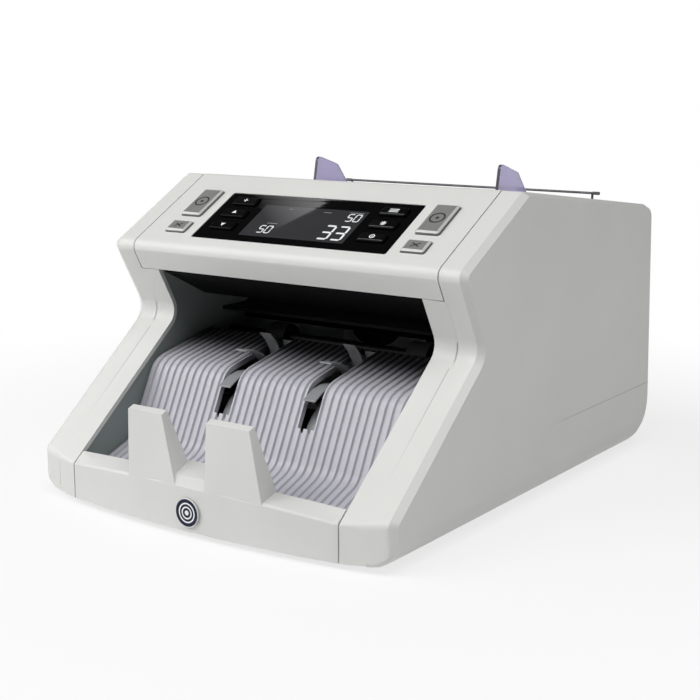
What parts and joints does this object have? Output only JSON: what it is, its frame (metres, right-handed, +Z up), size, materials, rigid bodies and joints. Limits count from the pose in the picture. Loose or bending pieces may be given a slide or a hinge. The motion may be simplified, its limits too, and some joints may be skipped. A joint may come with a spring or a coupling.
{
  "type": "banknote counter",
  "caption": "Desktop banknote counter with a rear feed hopper, sloped key and display panel, and a ribbed front stacker pocket between angled side panels.",
  "frame": {"origin": "Centre of the whole machine in plan, at the bottom of its rubber feet.", "axes": "+Z up, +Y from the front (tray, keys) to the back (sockets), +X to the right as seen from the front; X = 0 is the mid-plane of the housing."},
  "size_m": [0.245, 0.3158, 0.1864],
  "materials": {
    "housing_grey": "light warm grey moulded plastic",
    "panel_glass": "glossy black display window",
    "dark_plastic": "black plastic",
    "key_grey": "mid grey key caps and small gear",
    "key_black": "glossy black keys and rocker",
    "circuit_board": "green circuit board",
    "tray_grey": "light grey moulded plastic of the stacker front",
    "badge_navy": "dark blue round disc",
    "rib_grey": "pale lilac grey ribbed plastic",
    "smoke_violet": "translucent smoke violet plastic",
    "chassis_black": "black painted sheet of the base",
    "rubber": "black rubber rollers, belts and feet",
    "liner_grey": "dark grey green painted sheet frames",
    "steel": "plain steel",
    "wheel_grey": "grey flexible plastic vanes"
  },
  "bodies": {
    "machine": {"left_side_panel": "housing_grey", "right_side_panel": "housing_grey", "left_front_post": "housing_grey", "right_front_post": "housing_grey", "display_glass": "panel_glass", "lcd_module": "dark_plastic", "key_board": "circuit_board", "control_panel_cover": "housing_grey", "tray_cover": "tray_grey", "front_badge": "badge_navy", "stacker_rib_plate": "rib_grey", "pocket_ceiling": "dark_plastic", "hopper_plate": "housing_grey", "hopper_front_slope": "housing_grey", "power_inlet": "dark_plastic", "display_port": "dark_plastic", "rear_cover": "housing_grey", "base_plate": "chassis_black", "front_left_foot": "rubber", "rear_left_foot": "rubber", "front_right_foot": "rubber", "rear_right_foot": "rubber", "left_inner_frame": "liner_grey", "right_inner_frame": "liner_grey", "left_hopper_wall": "housing_grey", "right_hopper_wall": "housing_grey", "retard_roller": "rubber", "lower_transport_guide": "dark_plastic", "upper_transport_guide": "dark_plastic", "drive_motor": "steel", "drive_belt": "rubber", "pick_belt": "rubber", "main_board": "circuit_board", "power_supply": "steel"},
    "left_guide": {"left_note_guide": "smoke_violet"},
    "right_guide": {"right_note_guide": "smoke_violet"},
    "pinion": {"guide_pinion": "key_grey"},
    "bail": {"note_rest_bail": "steel"},
    "feed_shaft": {"feed_roller_shaft": "rubber"},
    "pick_shaft": {"pick_roller_shaft": "rubber"},
    "exit_shaft": {"exit_roller_shaft": "rubber"},
    "stacker": {"stacker_shaft": "steel", "left_stacker_wheel": "wheel_grey", "right_stacker_wheel": "wheel_grey"},
    "motor_drive": {"motor_pulley": "steel"},
    "rocker": {"power_rocker": "key_black"},
    "start_key_left_body": {"start_key_left": "key_grey"},
    "clear_key_left_body": {"clear_key_left": "key_grey"},
    "lower_ink_key_left_body": {"lower_ink_key_left": "key_black"},
    "middle_ink_key_left_body": {"middle_ink_key_left": "key_black"},
    "upper_ink_key_left_body": {"upper_ink_key_left": "key_black"},
    "start_key_right_body": {"start_key_right": "key_grey"},
    "clear_key_right_body": {"clear_key_right": "key_grey"},
    "lower_ink_key_right_body": {"lower_ink_key_right": "key_black"},
    "middle_ink_key_right_body": {"middle_ink_key_right": "key_black"},
    "upper_ink_key_right_body": {"upper_ink_key_right": "key_black"}
  },
  "joints": [
    {"name": "right_guide_slide", "type": "slide", "parent": "machine", "child": "right_guide", "axis": [1, 0, 0], "range_m": [-0.012, 0.023]},
    {"name": "left_guide_slide", "type": "slide", "parent": "machine", "child": "left_guide", "axis": [-1, 0, 0], "range_m": [-0.012, 0.023]},
    {"name": "guide_pinion_hinge", "type": "hinge", "parent": "machine", "child": "pinion", "pos_m": [0, 0.07154, 0.12222], "axis": [0, -0.6561, 0.7547], "range_deg": [-260, 140]},
    {"name": "note_rest_hinge", "type": "hinge", "parent": "machine", "child": "bail", "pos_m": [0, 0.12393, 0.15617], "axis": [-1, 0, 0], "range_deg": [0, 85]},
    {"name": "feed_shaft_hinge", "type": "hinge", "parent": "machine", "child": "feed_shaft", "pos_m": [0, 0.06272, 0.08739], "axis": [1, 0, 0], "continuous": true},
    {"name": "pick_shaft_hinge", "type": "hinge", "parent": "machine", "child": "pick_shaft", "pos_m": [0, 0.09598, 0.12916], "axis": [1, 0, 0], "continuous": true},
    {"name": "exit_shaft_hinge", "type": "hinge", "parent": "machine", "child": "exit_shaft", "pos_m": [0, -0.00926, 0.07811], "axis": [1, 0, 0], "continuous": true},
    {"name": "stacker_hinge", "type": "hinge", "parent": "machine", "child": "stacker", "pos_m": [0, -0.05476, 0.05211], "axis": [1, 0, 0], "continuous": true},
    {"name": "motor_hinge", "type": "hinge", "parent": "machine", "child": "motor_drive", "pos_m": [0, 0.02174, 0.04411], "axis": [1, 0, 0], "continuous": true},
    {"name": "power_rocker_hinge", "type": "hinge", "parent": "machine", "child": "rocker", "pos_m": [0.0405, 0.15492, 0.038], "axis": [1, 0, 0], "range_deg": [0, 9]},
    {"name": "start_key_left_press", "type": "slide", "parent": "machine", "child": "start_key_left_body", "axis": [0, 0.4879, -0.8729], "range_m": [0, 0.0012], "stiffness_N_per_m": 600},
    {"name": "clear_key_left_press", "type": "slide", "parent": "machine", "child": "clear_key_left_body", "axis": [0, 0.4879, -0.8729], "range_m": [0, 0.0012], "stiffness_N_per_m": 600},
    {"name": "lower_ink_key_left_press", "type": "slide", "parent": "machine", "child": "lower_ink_key_left_body", "axis": [0, 0.4879, -0.8729], "range_m": [0, 0.0008], "stiffness_N_per_m": 600},
    {"name": "middle_ink_key_left_press", "type": "slide", "parent": "machine", "child": "middle_ink_key_left_body", "axis": [0, 0.4879, -0.8729], "range_m": [0, 0.0008], "stiffness_N_per_m": 600},
    {"name": "upper_ink_key_left_press", "type": "slide", "parent": "machine", "child": "upper_ink_key_left_body", "axis": [0, 0.4879, -0.8729], "range_m": [0, 0.0008], "stiffness_N_per_m": 600},
    {"name": "start_key_right_press", "type": "slide", "parent": "machine", "child": "start_key_right_body", "axis": [0, 0.4879, -0.8729], "range_m": [0, 0.0012], "stiffness_N_per_m": 600},
    {"name": "clear_key_right_press", "type": "slide", "parent": "machine", "child": "clear_key_right_body", "axis": [0, 0.4879, -0.8729], "range_m": [0, 0.0012], "stiffness_N_per_m": 600},
    {"name": "lower_ink_key_right_press", "type": "slide", "parent": "machine", "child": "lower_ink_key_right_body", "axis": [0, 0.4879, -0.8729], "range_m": [0, 0.0008], "stiffness_N_per_m": 600},
    {"name": "middle_ink_key_right_press", "type": "slide", "parent": "machine", "child": "middle_ink_key_right_body", "axis": [0, 0.4879, -0.8729], "range_m": [0, 0.0008], "stiffness_N_per_m": 600},
    {"name": "upper_ink_key_right_press", "type": "slide", "parent": "machine", "child": "upper_ink_key_right_body", "axis": [0, 0.4879, -0.8729], "range_m": [0, 0.0008], "stiffness_N_per_m": 600}
  ],
  "couplings": [
    {"joint": "left_guide_slide", "follows": "right_guide_slide", "ratio": 1},
    {"joint": "guide_pinion_hinge", "follows": "right_guide_slide", "rad_per_m": -192.31},
    {"joint": "pick_shaft_hinge", "follows": "feed_shaft_hinge", "ratio": 1},
    {"joint": "exit_shaft_hinge", "follows": "feed_shaft_hinge", "ratio": 2},
    {"joint": "stacker_hinge", "follows": "feed_shaft_hinge", "ratio": 1.1429},
    {"joint": "motor_hinge", "follows": "feed_shaft_hinge", "ratio": 1.6}
  ]
}
